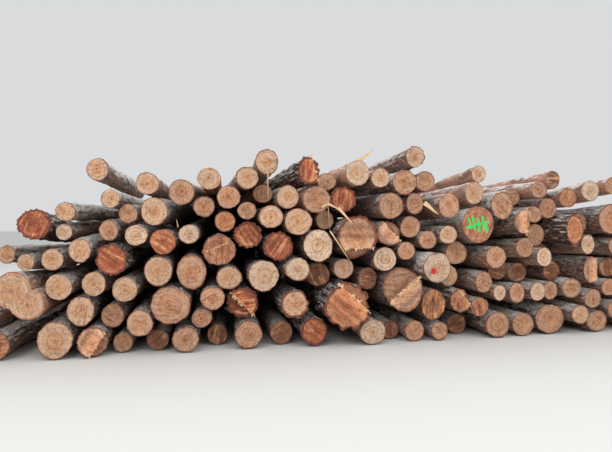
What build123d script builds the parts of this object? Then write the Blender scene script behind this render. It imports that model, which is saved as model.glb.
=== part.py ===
from build123d import *
import math
import os
from typing import NamedTuple

import numpy as np

# A long pile of pine logs, cut to one length and laid on level ground with their ends in line.
# Units are millimetres. X runs along the pile, Y into it along the logs, and Z is up.
# The ends that face -Y are the front of the pile.

# Driving dimensions
LOG_LENGTH = 2500.0  # sawn length of every log
FLAT_PAIRS = 12  # a log is drawn with this many pairs of opposite flats
SEAT_GAP = 0.3  # two logs that lie on each other are this far apart
TAPER = 8.0  # most that a log's radius changes over its length, either way
BUTT_EXTRA = 4.0  # the far ends are this much thicker in radius on average
OUT_OF_ROUND = 0.012  # how far a log's outline swells and sinks, as a share of its radius
SAW_TILT = 2.5  # most that a sawn end leans off square, in degrees
FRONT_DROP = 14.0  # a front end may sink this far to find what it lies on
REAR_ROAM = 70.0  # a far end may roll this far sideways into a hollow
HOME_PULL = 0.1  # how strongly a front end goes back to its own place while the logs are spread
ON_GROUND = 12.0  # a log this close over the ground is laid on it
OVERHANG = 0.1  # no end stands further out of the pile's faces than this share of a log

# Felling cuts: the step down to the sink at the hinge, and the slope of the sink
HINGE_STEP = 34.0
SINK_SLOPE = 28.0

# The marking tag nailed on one log end
TAG_WIDTH = 42.0
TAG_HEIGHT = 46.0
TAG_THICKNESS = 3.0
TAG_LEFT = 30.0  # how far left of the log's middle it is nailed on
TAG_DOWN = 30.0
TAG_TURN = 12.0  # degrees off upright

# The forked log's second stem: where it lies from the first one's middle, and its size
FORK_ACROSS = 100.0
FORK_DOWN = 100.0
FORK_DIAMETER = 240.0
FORK_MERGE = 0.9  # where the two have become one, the second's share of the first's size


class Log(NamedTuple):
    """One log by its front end: where its middle is, its size over the bark, and how it lies."""

    x: float
    z: float
    wide: float
    high: float
    reach: float = 0.0  # how far this end stands out of the pile's face
    aside: float = 0.0  # how far to the right the far end lies
    grown: float = None  # how much thicker the far end is, where that matters


LOGS = {
    "left_end_logs": [
        Log(-2030, 90, 175, 175, 20, 0, 30),
        Log(-1835, 105, 210, 205, -60, 0, 30),
        Log(-1610, 118, 235, 231, 0, 0, 40),
        Log(-1930, 270, 190, 185, 30, 0, 40),
        Log(-1710, 320, 195, 200, -30, 0, 50),
    ],
    "bay_1_ground_logs": [
        Log(-1175, 155, 275, 300, 50, 0, 30),
    ],
    "bay_1_low_logs": [
        Log(-995, 360, 215, 250, 30, 0, 50),
    ],
    "bay_1_middle_logs": [
        Log(-1520, 810, 130, 150, 0, 0, 70),
        Log(-1380, 730, 135, 145, 40, 0, 80),
        Log(-1205, 760, 175, 180, 0, 0, 80),
        Log(-1150, 555, 205, 210, 40, 0, 70),
        Log(-995, 805, 180, 200, 40, 0, 70),
    ],
    "bay_1_upper_logs": [
        Log(-1285, 1020, 260, 250, 60),
        Log(-1115, 1125, 160, 160, 0, 0, 40),
        Log(-1115, 960, 130, 135, -40, 0, 80),
    ],
    "bay_2_ground_logs": [
        Log(-720, 90, 165, 170, -80, 0, 20),
        Log(-445, 95, 185, 180, -100),
        Log(-200, 110, 235, 220, 20),
    ],
    "bay_2_low_logs": [
        Log(-780, 310, 185, 200, -60, 0, 30),
        Log(-555, 260, 215, 230, 60),
        Log(-335, 420, 325, 310, 80),
        Log(-90, 275, 175, 165, -20),
    ],
    "bay_2_middle_logs": [
        Log(-905, 565, 185, 205, 20, 0, 50),
        Log(-760, 760, 260, 265, 60, 0, 30),
        Log(-675, 520, 205, 210, 40, 0, 40),
        Log(-410, 645, 230, 250, 20, 0, 30),
        Log(-165, 640, 255, 295, 0, 0, 20),
    ],
    "bay_2_top_logs": [
        Log(-870, 1460, 175, 185, 50, 0, 30),
        Log(-780, 1230, 150, 165, 40, 0, 60),
        Log(-505, 1350, 190, 185, 40, 0, 30),
        Log(-250, 1250, 215, 215, 0, 0, 30),
        Log(-70, 1165, 190, 185, -40),
    ],
    "bay_2_upper_logs": [
        Log(-815, 965, 155, 180, 0, 0, 60),
        Log(-670, 1100, 155, 160, -20, 0, 50),
        Log(-590, 960, 185, 175, 40, 0, 40),
        Log(-480, 1130, 215, 240, 20, 0, 30),
        Log(-395, 875, 220, 215, 20, 0, 40),
        Log(-200, 945, 175, 165, 20, 0, 50),
    ],
    "bay_3_ground_logs": [
        Log(35, 95, 175, 185, -200),
        Log(280, 125, 250, 245, 0),
        Log(575, 105, 205, 210, -100),
    ],
    "bay_3_low_logs": [
        Log(10, 410, 210, 200, 20),
        Log(660, 375, 265, 255, 60),
    ],
    "bay_3_middle_logs": [
        Log(60, 815, 285, 265, 40, 0, 20),
        Log(125, 580, 215, 200, 30),
        Log(400, 610, 275, 275, 50),
        Log(525, 820, 275, 265, 0),
        Log(735, 645, 220, 210, 40),
    ],
    "bay_3_top_logs": [
        Log(-40, 1385, 195, 180, 40),
        Log(130, 1225, 205, 200, 20),
        Log(265, 1375, 200, 200, 40),
        Log(415, 1535, 200, 220, 60),
        Log(435, 1275, 180, 165, -140),
        Log(620, 1240, 200, 210, 20),
        Log(840, 1210, 235, 230, 40),
    ],
    "bay_3_upper_logs": [
        Log(100, 1055, 180, 175, -40, 0, 30),
        Log(270, 1120, 170, 160, 0),
        Log(285, 920, 250, 245, -40),
        Log(470, 1095, 215, 200, 40),
        Log(690, 1045, 245, 235, 40),
    ],
    "bay_4_ground_logs": [
        Log(855, 135, 250, 260, 20),
        Log(1375, 115, 250, 225, 60),
        Log(1515, 90, 185, 175, -120),
        Log(1705, 100, 190, 195, 0),
    ],
    "bay_4_middle_logs": [
        Log(935, 540, 225, 215, -120),
        Log(1100, 665, 190, 185, -30),
        Log(1330, 555, 180, 205, -100),
        Log(1450, 720, 225, 225, 0),
        Log(1660, 785, 175, 170, 0),
    ],
    "bay_4_top_logs": [
        Log(935, 1410, 180, 160, -120),
        Log(1090, 1255, 245, 245, 0),
        Log(1220, 1470, 215, 220, 40),
        Log(1460, 1430, 185, 185, 20),
        Log(1510, 1160, 235, 240, 40),
        Log(1650, 1385, 240, 230, 40),
        Log(1720, 1615, 190, 205, 60),
    ],
    "bay_4_upper_logs": [
        Log(860, 845, 270, 295, 60),
        Log(960, 1065, 175, 180, -120),
        Log(1695, 980, 205, 205, -40),
        Log(1745, 1160, 175, 205, -20),
    ],
    "bay_5_ground_logs": [
        Log(1970, 90, 170, 175, 20),
        Log(2250, 105, 205, 200, -200),
        Log(2540, 130, 255, 250, 20),
    ],
    "bay_5_low_logs": [
        Log(1885, 335, 245, 295, 40),
        Log(2370, 300, 190, 185, 0),
        Log(2540, 420, 140, 160, 40),
    ],
    "bay_5_middle_logs": [
        Log(2130, 520, 200, 205, -80),
        Log(2170, 755, 230, 225, -60),
        Log(2405, 510, 180, 210, 20),
        Log(2495, 735, 210, 215, 60),
        Log(2660, 605, 200, 175, -140),
    ],
    "bay_5_top_logs": [
        Log(1825, 1410, 200, 190, -40),
        Log(2050, 1200, 205, 230, 40),
        Log(2295, 1300, 190, 215, 40),
        Log(2345, 1460, 150, 160, 0),
        Log(2540, 1175, 235, 265, 80),
    ],
    "bay_5_upper_logs": [
        Log(1855, 890, 185, 175, -20),
        Log(2045, 940, 185, 175, 20),
    ],
    "bay_6_ground_logs": [
        Log(2810, 115, 230, 225, 0),
        Log(3105, 150, 330, 290, -20),
        Log(3615, 115, 245, 220, -20),
    ],
    "bay_6_low_logs": [
        Log(2755, 410, 170, 200, 0),
        Log(2925, 420, 175, 185, 40),
        Log(3120, 430, 165, 190, -20),
        Log(3300, 435, 220, 200, 20),
        Log(3360, 185, 195, 190, 60),
        Log(3535, 335, 200, 195, 20),
        Log(3755, 430, 205, 180, -20),
        Log(3830, 235, 205, 190, 0),
    ],
    "bay_6_middle_logs": [
        Log(2800, 825, 195, 195, 40),
        Log(2855, 600, 210, 195, -140),
        Log(3025, 755, 165, 190, 80),
        Log(3090, 710, 220, 170, -240),
        Log(3160, 630, 185, 195, -100),
        Log(3810, 825, 190, 190, 0),
        Log(3815, 620, 205, 200, -100),
    ],
    "bay_6_top_logs": [
        Log(2755, 1280, 190, 165, -120),
        Log(2955, 1350, 170, 165, 20),
        Log(3110, 1445, 150, 175, 0),
        Log(3310, 1285, 195, 185, -20),
        Log(3460, 1335, 200, 200, 40),
        Log(3775, 1410, 190, 170, 0),
    ],
    "bay_6_upper_logs": [
        Log(2995, 1115, 180, 165, -40),
        Log(3015, 905, 205, 235, -100),
        Log(3120, 1160, 195, 200, -80),
        Log(3445, 845, 160, 200, 60),
        Log(3515, 1055, 180, 200, -100),
        Log(3715, 1075, 310, 300, 40),
    ],
    "right_end_ground_logs": [
        Log(4080, 125, 240, 245, 10),
        Log(4350, 130, 255, 250, -40),
        Log(4620, 110, 220, 215, 30),
    ],
    "right_end_low_logs": [
        Log(3970, 320, 210, 210, 20),
        Log(4220, 335, 235, 240, -20),
        Log(4480, 330, 215, 215, 30),
    ],
    "right_end_middle_logs": [
        Log(4080, 530, 225, 225, 0),
        Log(4320, 530, 200, 205, 40),
        Log(3990, 720, 210, 210, -20),
        Log(4190, 720, 195, 200, 30),
    ],
    "right_end_upper_logs": [
        Log(4060, 900, 205, 200, -30),
        Log(3960, 1080, 200, 205, 20),
    ],
    "felled_butt_1": [Log(-895, 135, 235, 250, 60)],
    "felled_butt_2": [Log(255, 400, 275, 280, 0)],
    "felled_butt_3": [Log(835, 1410, 215, 255, 100)],
    "felled_butt_4": [Log(1150, 915, 365, 375, 120)],
    "felled_butt_5": [Log(1100, 365, 435, 420, 120)],
    "felled_butt_6": [Log(1505, 940, 250, 225, 40)],
    "felled_butt_7": [Log(2720, 1055, 230, 235, 140)],
    "felled_butt_8": [Log(3490, 605, 205, 270, 60)],
    "felled_butt_9": [Log(2155, 370, 225, 225, 40)],
    "felled_butt_10": [Log(1620, 470, 345, 385, 100)],
    "forked_log": [Log(-1445, 540, 265, 285, 100)],
    "furrowed_butt": [Log(3230, 965, 210, 310, 120)],
    "painted_log": [Log(2280, 985, 320, 345, 80)],
    "tagged_log": [Log(1905, 650, 265, 280, 140)],
}

# Each felling cut: the way its sink faces in degrees from the right, and how far the hinge line lies
# off the log's middle, in radii
FELLING_CUTS = {
    "felled_butt_1": (-30, 0.35),
    "felled_butt_2": (-135, 0.1),
    "felled_butt_3": (15, 0.45),
    "felled_butt_4": (-90, 0.5),
    "felled_butt_5": (48, 0.4),
    "felled_butt_6": (45, 0.2),
    "felled_butt_7": (0, 0.2),
    "felled_butt_8": (0, 0.45),
    "felled_butt_9": (40, 0.4),
    "felled_butt_10": (130, 0.0),
}

SIDES = 2 * FLAT_PAIRS
TURNS = np.arange(SIDES) * 2 * math.pi / SIDES
NORMALS = np.stack([np.cos(TURNS), np.sin(TURNS)], axis=1)
OPPOSITE = (np.arange(SIDES) + FLAT_PAIRS) % SIDES
UP = np.array([0.0, 1.0])


def spread(index, step=0.618034):
    """An even scatter between -1 and 1 that never repeats."""
    return 2 * (index * step % 1.0) - 1


def outline(wide, high, index):
    """How far each flat lies from the log's middle: an oval that is a little out of round."""
    oval = np.hypot(NORMALS[:, 0] * wide / 2, NORMALS[:, 1] * high / 2)
    swell = np.cos(3 * TURNS + 5.0 * index) + 0.6 * np.cos(2 * TURNS + 2.0 * index)
    return oval * (1 + OUT_OF_ROUND * swell)


def corners(flats):
    """Where neighbouring flats meet, seen from the log's middle."""
    step = 2 * math.pi / SIDES
    along = np.stack([-NORMALS[:, 1], NORMALS[:, 0]], axis=1)
    shift = (np.roll(flats, -1) - flats * math.cos(step)) / math.sin(step)
    return NORMALS * flats[:, None] + along * shift[:, None]


class Stems:
    """Straight tapered stems, each held by its outline and its middle at the two faces of the pile.

    A stem that lies on the ground has its front middle at its ground height.
    """

    def __init__(self):
        self.front = np.zeros((0, 2))
        self.rear = np.zeros((0, 2))
        self.flats = np.zeros((0, SIDES))
        self.growth = np.zeros(0)
        self.ground = np.zeros(0)
        self.first = np.zeros(0)
        self.last = np.zeros(0)
        self.lean = np.zeros(0)

    def widest(self, stem):
        """The largest radius that a stem has anywhere."""
        return self.flats[stem].max(axis=-1) * np.maximum(self.growth[stem], 1)

    def span(self, stem, front, rear):
        """How far left and how far right a stem comes, its ends outside the pile's faces too."""
        before = front[..., 0] - (rear - front)[..., 0] * OVERHANG
        behind = rear[..., 0] + (rear - front)[..., 0] * OVERHANG
        wide = self.widest(stem)
        return np.minimum(before, behind) - wide, np.maximum(before, behind) + wide

    def add(self, front, rear, flats, growth, reach, lean):
        """Adds a stem and returns its number."""
        slack = flats.max() * math.tan(math.radians(abs(lean)))
        self.front = np.vstack([self.front, front])
        self.rear = np.vstack([self.rear, rear])
        self.flats = np.vstack([self.flats, flats])
        self.growth = np.append(self.growth, growth)
        self.ground = np.append(self.ground, -corners(flats)[:, 1].min())
        self.first = np.append(self.first, -reach - slack)
        self.last = np.append(self.last, LOG_LENGTH - reach + slack)
        self.lean = np.append(self.lean, lean)
        return len(self.growth) - 1


def lowest_crest(start, end, low, high):
    """The lowest that the highest of several straight lines gets between two shares of the way.

    Each row holds its lines by their values at the start and at the end. Two lines bound the place
    from the left and from the right, and the line that is highest where they meet takes over from one.
    """
    rows = np.arange(len(start))
    slope = end - start
    left = (start + slope * low[:, None]).argmax(1)
    right = (start + slope * high[:, None]).argmax(1)
    for _ in range(10):
        falls = slope[rows, left]
        rises = slope[rows, right]
        met = (start[rows, left] - start[rows, right]) / np.maximum(rises - falls, 1e-12)
        met = np.clip(met, low, high)
        place = np.where(falls >= 0, low, np.where(rises <= 0, high, met))
        crest = (start + slope * place[:, None]).argmax(1)
        falling = slope[rows, crest] < 0
        left = np.where(falling, crest, left)
        right = np.where(falling, right, crest)
    return start[rows, crest] + slope[rows, crest] * place, place, crest


def push_apart(stems, lying, owner, rounds=400):
    """Spreads the logs by as little as frees them of each other, with those on the ground kept there."""
    one, other = np.triu_indices(len(owner), 1)
    radius = stems.flats.mean(axis=1)
    left, right = stems.span(np.arange(len(owner)), stems.front, stems.rear)
    near = (left[one] - radius[one] < right[other] + radius[other]) & (owner[one] != owner[other])
    near &= left[other] - radius[other] < right[one] + radius[one]
    one, other = one[near], other[near]
    ground = stems.ground
    first = np.maximum(stems.first[one], stems.first[other]) / LOG_LENGTH
    last = np.minimum(stems.last[one], stems.last[other]) / LOG_LENGTH
    home = stems.front.copy()
    for turn in range(rounds):
        for share in (first, (first + last) / 2, last):
            part = share[:, None]
            lead = stems.front[one] * (1 - part) + stems.rear[one] * part
            trail = stems.front[other] * (1 - part) + stems.rear[other] * part
            size_one = radius[one] * (1 + (stems.growth[one] - 1) * share)
            size_other = radius[other] * (1 + (stems.growth[other] - 1) * share)
            apart = lead - trail
            distance = np.linalg.norm(apart, axis=1)
            short = np.maximum(size_one + size_other + 2 * SEAT_GAP - distance, 0)
            step = apart / distance[:, None] * short[:, None] * 0.2
            for index, sign in ((one, 1), (other, -1)):
                np.add.at(stems.front, index, sign * step * (1.05 - part))
                np.add.at(stems.rear, index, sign * step * (0.05 + part))
        stems.front += (home - stems.front) * HOME_PULL * (1 - turn / rounds)
        stems.front[:, 1] = np.maximum(stems.front[:, 1], ground)
        stems.rear[:, 1] = np.maximum(stems.rear[:, 1], ground * stems.growth)
        stems.front[lying, 1] = ground[lying]
        stems.rear[lying, 1] = (ground * stems.growth)[lying]


class Laid:
    """The stems that lie in the pile so far, against which the next log is tried."""

    def __init__(self, stems):
        self.stems = stems
        self.done = np.zeros(0, dtype=int)
        self.left = np.zeros(0)
        self.right = np.zeros(0)

    def clearance(self, log, front, rear):
        """The least gap around a log of one or more stems, its share of the way back, and its push."""
        stems = self.stems
        best = (1e9, 0.0, UP)
        for stem in log:
            here = stems.front[stem] - stems.front[log[0]] + front
            there = stems.rear[stem] - stems.rear[log[0]] + rear
            over_front = here[1] - stems.ground[stem] + SEAT_GAP
            over_rear = there[1] - stems.ground[stem] * stems.growth[stem] + SEAT_GAP
            best = min(best, (over_front, 0.0, UP), (over_rear, 1.0, UP), key=lambda found: found[0])
            left, right = stems.span(stem, here, there)
            near = self.done[(self.left < right) & (self.right > left)]
            low = np.maximum(stems.first[stem], stems.first[near]) / LOG_LENGTH
            high = np.minimum(stems.last[stem], stems.last[near]) / LOG_LENGTH
            if len(near) == 0:
                continue
            mine = stems.flats[stem][OPPOSITE]
            start = (here - stems.front[near]) @ NORMALS.T - stems.flats[near] - mine
            grown = stems.flats[near] * stems.growth[near][:, None] + mine * stems.growth[stem]
            end = (there - stems.rear[near]) @ NORMALS.T - grown
            gap, share, facing = lowest_crest(start, end, low, high)
            worst = int(np.argmin(gap))
            if gap[worst] < best[0]:
                best = (float(gap[worst]), float(share[worst]), NORMALS[facing[worst]])
        return best

    def free(self, log, front, rear):
        """Moves a log out of whatever it still cuts into, a little at a time."""
        for _ in range(4000):
            gap, share, way = self.clearance(log, front, rear)
            short = SEAT_GAP - gap
            if short <= 0:
                break
            step = way * (short + 0.01) + UP * 0.01
            front = front + step * (1.2 - share)
            rear = rear + step * (0.2 + share)
        return front, rear

    def sink(self, log, front, rear, at_front, most):
        """Lowers one end straight down until the log lies on something."""
        fallen = 0.0
        for _ in range(200):
            gap = self.clearance(log, front, rear)[0] - SEAT_GAP
            step = min(gap, most - fallen)
            if step < 0.01:
                break
            fallen += step
            if at_front:
                front = front - UP * step
            else:
                rear = rear - UP * step
        return front, rear

    def roll(self, log, front, rear):
        """Lets the far end roll down between the logs under it."""
        home = rear[0]
        step = 24.0
        while step > 0.2:
            moved = False
            for angle in (-90, -60, -120, -35, -145, -12, -168):
                way = np.array([math.cos(math.radians(angle)), math.sin(math.radians(angle))])
                tried = rear + way * step
                if abs(tried[0] - home) > REAR_ROAM:
                    continue
                if self.clearance(log, front, tried)[0] >= SEAT_GAP:
                    rear = tried
                    moved = True
                    break
            if not moved:
                step /= 2
        return front, rear

    def lay(self, log):
        """Lays one log in the pile."""
        front = self.stems.front[log[0]].copy()
        rear = self.stems.rear[log[0]].copy()
        front, rear = self.free(log, front, rear)
        front, rear = self.roll(log, front, rear)
        front, rear = self.sink(log, front, rear, True, FRONT_DROP)
        front, rear = self.sink(log, front, rear, False, 1e4)
        move_front = front - self.stems.front[log[0]]
        move_rear = rear - self.stems.rear[log[0]]
        self.stems.front[log] += move_front
        self.stems.rear[log] += move_rear
        left, right = self.stems.span(log, self.stems.front[log], self.stems.rear[log])
        self.done = np.append(self.done, log)
        self.left = np.append(self.left, left)
        self.right = np.append(self.right, right)


def measure_logs():
    """The stems as they lie before they are settled, and the stems of each log of each node."""
    stems, groups = Stems(), {}
    for name, logs in LOGS.items():
        groups[name] = []
        for log in logs:
            index = len(stems.growth)
            flats = outline(log.wide, log.high, index)
            radius = (log.wide + log.high) / 4
            grown = TAPER * spread(index) + BUTT_EXTRA if log.grown is None else log.grown / 2
            lean = 0.0 if name == "tagged_log" else SAW_TILT * spread(index, 0.7548777)
            front = np.array([log.x, log.z])
            rear = front + (log.aside, 0.0)
            members = [stems.add(front, rear, flats, 1 + grown / radius, log.reach, lean)]
            if name == "forked_log":
                second = outline(FORK_DIAMETER, FORK_DIAMETER, index)
                merge = FORK_MERGE * (radius + grown) * 2 / FORK_DIAMETER
                across = front + (FORK_ACROSS, -FORK_DOWN)
                members.append(stems.add(across, rear, second, merge, log.reach, lean))
            groups[name].append(members)
    return stems, groups


def settle():
    """The stems as they lie in the pile."""
    stems, groups = measure_logs()
    lying = stems.front[:, 1] < stems.ground + ON_GROUND
    logs = [members for group in groups.values() for members in group]
    owner = np.array([members[0] for members in logs for _ in members])
    push_apart(stems, lying, owner)
    for members in logs:
        for other in members[1:]:
            stems.front[other] = stems.front[members[0]] + (FORK_ACROSS, -FORK_DOWN)
            stems.rear[other] = stems.rear[members[0]]
    logs.sort(key=lambda members: (not lying[members[0]], stems.front[members[0], 1]))
    laid = Laid(stems)
    for members in logs:
        laid.lay(members)
    return stems, groups


def sawn_end(stems, index, outward, turn):
    """The corners of one sawn end, which leans off square towards one side."""
    front, rear = stems.front[index], stems.rear[index]
    slack = stems.flats[index].max() * math.tan(math.radians(abs(stems.lean[index])))
    place = stems.first[index] + slack if outward < 0 else stems.last[index] - slack
    drift = (rear - front) / LOG_LENGTH
    middle = front + drift * place
    shape = corners(stems.flats[index])
    swell = (stems.growth[index] - 1) / LOG_LENGTH
    lean = math.tan(math.radians(stems.lean[index])) * np.array([math.cos(turn), math.sin(turn)])
    edge = drift + shape * swell
    y = (place + (front + shape - middle) @ lean) / (1 - edge @ lean)
    section = front + shape + edge * y[:, None]
    return [Vector(x, depth, z) for (x, z), depth in zip(section, y)]


def stem_solid(stems, index):
    """One straight stem with its flats and its two sawn ends."""
    near = sawn_end(stems, index, -1, 2.4 * index)
    far = sawn_end(stems, index, 1, 1.7 * index)
    faces = [Face(Wire.make_polygon(near, close=True)), Face(Wire.make_polygon(far, close=True))]
    for side in range(SIDES):
        after = (side + 1) % SIDES
        faces.append(Face(Wire.make_polygon([near[side], near[after], far[after], far[side]], close=True)))
    return Solid(Shell(faces))


def felling_cut(stems, index, facing, offset):
    """What the sink of a felling cut takes from a butt: a step at the hinge, then a slope."""
    radius = stems.flats[index].mean()
    far = 2 * radius
    start = offset * radius
    slope = math.tan(math.radians(SINK_SLOPE))
    profile = Polyline(
        (start, HINGE_STEP),
        (far, HINGE_STEP + (far - start) * slope),
        (far, -far),
        (start, -far),
        close=True,
    )
    block = extrude(make_face(profile), amount=far, both=True)
    x, z = stems.front[index]
    place = Pos(x, stems.first[index], z)
    return place * Rotation(0, -facing, 0) * block


def log_solid(stems, members, cut):
    """One whole log, with its second stem and its felling cut where it has them."""
    solid = stem_solid(stems, members[0])
    for other in members[1:]:
        solid = (solid + stem_solid(stems, other)).solid()
    if cut:
        solid = (solid - felling_cut(stems, members[0], *cut)).solid()
    return solid


def build():
    """All nodes, as they lie about the pile's face."""
    stems, groups = settle()
    nodes = {}
    for name, logs in groups.items():
        solids = [log_solid(stems, members, FELLING_CUTS.get(name)) for members in logs]
        nodes[name] = Compound(children=solids) if len(solids) > 1 else solids[0]
    tagged = groups["tagged_log"][0][0]
    x, z = stems.front[tagged]
    tag_y = stems.first[tagged] - TAG_THICKNESS / 2 - SEAT_GAP
    tag = Box(TAG_WIDTH, TAG_THICKNESS, TAG_HEIGHT)
    nodes["log_tag"] = Pos(x - TAG_LEFT, tag_y, z - TAG_DOWN) * Rotation(0, TAG_TURN, 0) * tag
    return nodes


def main():
    nodes = build()
    whole = Compound(children=[Compound(node.wrapped) for node in nodes.values()]).bounding_box()
    middle = Pos(-whole.center().X, -whole.center().Y, -whole.min.Z)
    os.makedirs("parts", exist_ok=True)
    for name, node in nodes.items():
        export_step(middle * node, f"parts/{name}.step")


if __name__ == "__main__":
    main()
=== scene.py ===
"""A long pile of pine logs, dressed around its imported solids.

Every log is a copy of its solid, cut into rings, rounded and given bark, sawn ends and wear.
Lengths are metres. X runs along the pile, Y into it along the logs, and Z is up.
"""

import math
import random

import bmesh
import bpy
import numpy as np
from bpy.props import FloatProperty, FloatVectorProperty, PointerProperty
from mathutils import Matrix, Vector
from mathutils.noise import noise


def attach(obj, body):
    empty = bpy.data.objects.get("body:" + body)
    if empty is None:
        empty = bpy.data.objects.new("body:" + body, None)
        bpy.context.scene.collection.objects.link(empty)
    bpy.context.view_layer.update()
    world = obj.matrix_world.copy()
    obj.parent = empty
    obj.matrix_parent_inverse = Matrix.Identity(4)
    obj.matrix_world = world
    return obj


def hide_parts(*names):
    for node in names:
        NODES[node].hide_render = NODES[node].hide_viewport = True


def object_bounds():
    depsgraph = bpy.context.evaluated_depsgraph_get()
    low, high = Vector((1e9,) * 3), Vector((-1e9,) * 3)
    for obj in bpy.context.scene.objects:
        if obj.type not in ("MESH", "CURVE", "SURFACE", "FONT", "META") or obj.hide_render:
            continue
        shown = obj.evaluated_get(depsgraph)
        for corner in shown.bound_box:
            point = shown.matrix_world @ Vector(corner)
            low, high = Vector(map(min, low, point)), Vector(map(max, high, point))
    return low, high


bl_info = {
    "name": "Pine Log Pile",
    "version": (1, 0, 0),
    "blender": (4, 5, 0),
    "location": "3D View > Sidebar > Log Pile",
    "description": "Dresses a pile of sawn pine logs with bark, end grain, felling cuts and marks",
    "category": "Object",
}

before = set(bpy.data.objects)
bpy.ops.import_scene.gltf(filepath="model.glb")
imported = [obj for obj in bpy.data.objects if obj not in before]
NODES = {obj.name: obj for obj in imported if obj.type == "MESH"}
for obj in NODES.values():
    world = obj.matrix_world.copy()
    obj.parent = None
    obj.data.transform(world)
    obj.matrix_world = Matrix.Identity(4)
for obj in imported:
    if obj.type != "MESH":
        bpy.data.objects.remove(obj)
CAD_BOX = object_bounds()

# How a solid's faces are told apart
MERGE_DISTANCE = 1e-5
FLAT_ANGLE = math.radians(0.5)  # triangles that turn by less are one flat
LONG_FACE = 1.2  # at first only the bark flats are longer
ACROSS = 0.5  # a face lies across its log if its normal has more of Y
END_DEPTH = 0.3  # no sawn end is deeper
FRONT_ENDS = -1.0  # only front ends lie wholly before this

# Where rings of edges go round a log: behind its front end and before its rear end
FRONT_RINGS = (0.025, 0.07, 0.12, 0.19, 0.29, 0.43, 0.62, 0.86, 1.14, 1.42)
REAR_RINGS = (0.82, 0.58, 0.38, 0.22, 0.12, 0.04)

# How far each ring of a sawn end lies inside the last
BARK_INSET = 0.013
THICK_BARK_INSET = 0.026
WOOD_INSETS = (0.02, 0.022)
GRID_STEP = 0.028  # a felled or forked end is cut into a grid instead of rings

# Edges that turn by more stay sharp
LOG_ANGLE = math.radians(35)
FIBRE_ANGLE = math.radians(50)
SHEET_ANGLE = math.radians(40)

PITH_DRIFT = 0.012  # how far a pith may lie from its end's middle

# Where the two hearts of the forked end lie from its middle, across and up, and their girths
FORK_HEARTS = ((-0.05, 0.05), (0.06, -0.06))
FORK_GIRTHS = (0.14, 0.12)

# Torn fibres along a hinge
FIBRE_STEP = 0.007
FIBRE_ROOT = 0.003
FIBRE_SPREAD = 0.012
FIBRE_LENGTHS = (0.05, 0.18)  # as shares of the hinge
FIBRE_WIDTHS = (0.01, 0.034)
FIBRE_THICKNESS = 0.005
FIBRE_BENDS = ((0.3, 0.12), (0.65, -0.1))  # how far up, and how far aside

# A felling cut: distances beyond its hinge, and how light the wood is there, partly the cut faces'
# own tone and partly painted light and shade that show the cut's steps
HINGE_REACH = (-0.24, -0.17, -0.14, -0.1, -0.07, -0.03, 0.0, 0.01, 0.1)
HINGE_TONE_AND_PAINTED_LIGHT = (1.0, 0.7, 1.15, 0.65, 1.25, 1.5, 1.5, 0.55, 0.8)
TONE_AND_PAINTED_LIGHT_POWERS = (1.0, 1.1, 1.2)  # darker wood is redder too

# A torn ridge across one sawn end: where it starts and ends, and which way its fibres point
RIDGE = ((-1.346, -1.342, 0.804), (-1.164, -1.342, 0.875), (0.36, 0.0, -0.93))

# Slivers that hang from sawn ends: where each run starts and ends, and its width
HANGING_SLIVERS = {
    "right_sliver": (
        ((-0.343, -1.345, 1.201), (-0.246, -1.400, 1.150), 0.024),
        ((-0.271, -1.400, 1.166), (-0.151, -1.432, 1.033), 0.03),
        ((-0.397, -1.352, 1.176), (-0.324, -1.372, 1.209), 0.02),
    ),
    "long_sliver": (
        ((-0.343, -1.345, 1.185), (-0.340, -1.400, 0.967), 0.016),
        ((-0.340, -1.400, 0.975), (-0.160, -1.432, 0.702), 0.014),
    ),
    "top_sliver": (((-0.852, -1.375, 1.455), (-0.850, -1.360, 1.220), 0.03),),
    "far_sliver": (((0.512, -1.360, 1.218), (0.638, -1.370, 1.122), 0.05),),
    "crown_splinter": (((-0.030, -1.150, 1.580), (0.102, -1.200, 1.696), 0.05),),
    "pale_stub": (((-1.570, -1.240, 1.008), (-1.581, -1.250, 1.073), 0.018),),
}

# Dark sheets shaped as torn bark, set deep in the gaps between the logs as painted shade: each
# one's middle, width, height and turn in degrees
BARK_SHADE_SHEETS = (
    (-1.314, 0.50, 1.260, 0.19, 0.26, 12),
    (-1.291, 0.70, 1.049, 0.20, 0.27, -8),
    (-1.222, 0.50, 0.883, 0.38, 0.19, 5),
    (-0.921, 0.60, 0.720, 0.29, 0.19, -14),
    (-0.904, 0.50, 0.366, 0.24, 0.29, 20),
    (-0.909, 0.60, 1.438, 0.24, 0.17, -6),
    (-1.670, 0.70, 1.036, 0.34, 0.17, 8),
    (-1.635, 0.50, 0.743, 0.16, 0.21, -10),
    (-1.718, 0.40, 0.531, 0.14, 0.21, 6),
    (-1.137, 0.60, 0.119, 0.14, 0.14, 0),
    (-1.473, 0.80, 1.136, 0.22, 0.15, 10),
    (-1.458, 0.70, 0.866, 0.17, 0.19, -12),
    (-1.155, 0.35, 1.266, 0.21, 0.16, 8),
    (-0.999, 0.50, 1.119, 0.17, 0.17, -5),
    (-1.062, 0.40, 0.638, 0.16, 0.16, 14),
    (-1.389, 0.80, 1.446, 0.25, 0.12, 0),
    (-2.847, 0.45, 0.601, 0.13, 0.09, 3),
    (0.219, 0.70, 1.128, 0.13, 0.12, 8),
    (-1.441, 0.50, 0.319, 0.09, 0.09, -6),
    (-0.517, 0.60, 0.446, 0.11, 0.11, 10),
    (-0.688, 0.50, 0.229, 0.11, 0.11, -9),
    (-1.399, 0.70, 0.537, 0.11, 0.11, 7),
)
SHEET_THICKNESS = 0.014

BARK, WOOD = 0, 1  # a log's material slots

# What holds one, three or four numbers at each point
ATTRIBUTES = {1: ("FLOAT", "value"), 3: ("FLOAT_VECTOR", "vector"), 4: ("FLOAT_COLOR", "color")}

CRACKS = 5.0  # that run out from a pith

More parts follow.
